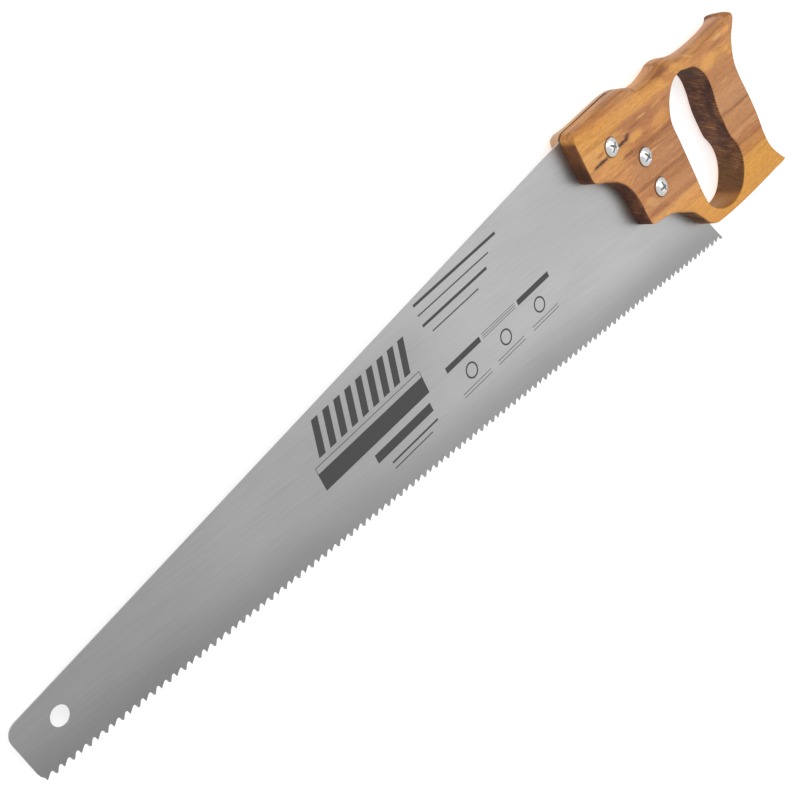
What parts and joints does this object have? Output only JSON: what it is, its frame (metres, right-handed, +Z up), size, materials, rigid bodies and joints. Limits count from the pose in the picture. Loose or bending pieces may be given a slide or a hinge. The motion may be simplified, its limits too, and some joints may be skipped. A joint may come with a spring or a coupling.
{
  "type": "hand saw",
  "caption": "Hand saw with a tapered toothed steel blade and a closed wooden handle held by domed screws and barrel nuts.",
  "frame": {"origin": "middle of the footprint, on the surface that the saw lies on", "axes": "+X along the tooth line from the toe to the handle, +Y from the teeth to the back of the blade, +Z up through the thickness, out of the face with the screw heads"},
  "size_m": [0.5486, 0.1138, 0.0228],
  "materials": {
    "blade_steel": "satin, ground lengthwise, with a dark printed band",
    "handle_wood": "teak-like wood with a thin satin oil finish",
    "plated_steel": "bright zinc plate"
  },
  "bodies": {
    "root": {"blade": "blade_steel", "handle": "handle_wood", "saw_screw_front": "plated_steel", "saw_screw_middle": "plated_steel", "saw_screw_rear": "plated_steel", "barrel_nut_front": "plated_steel", "barrel_nut_middle": "plated_steel", "barrel_nut_rear": "plated_steel"}
  },
  "joints": []
}
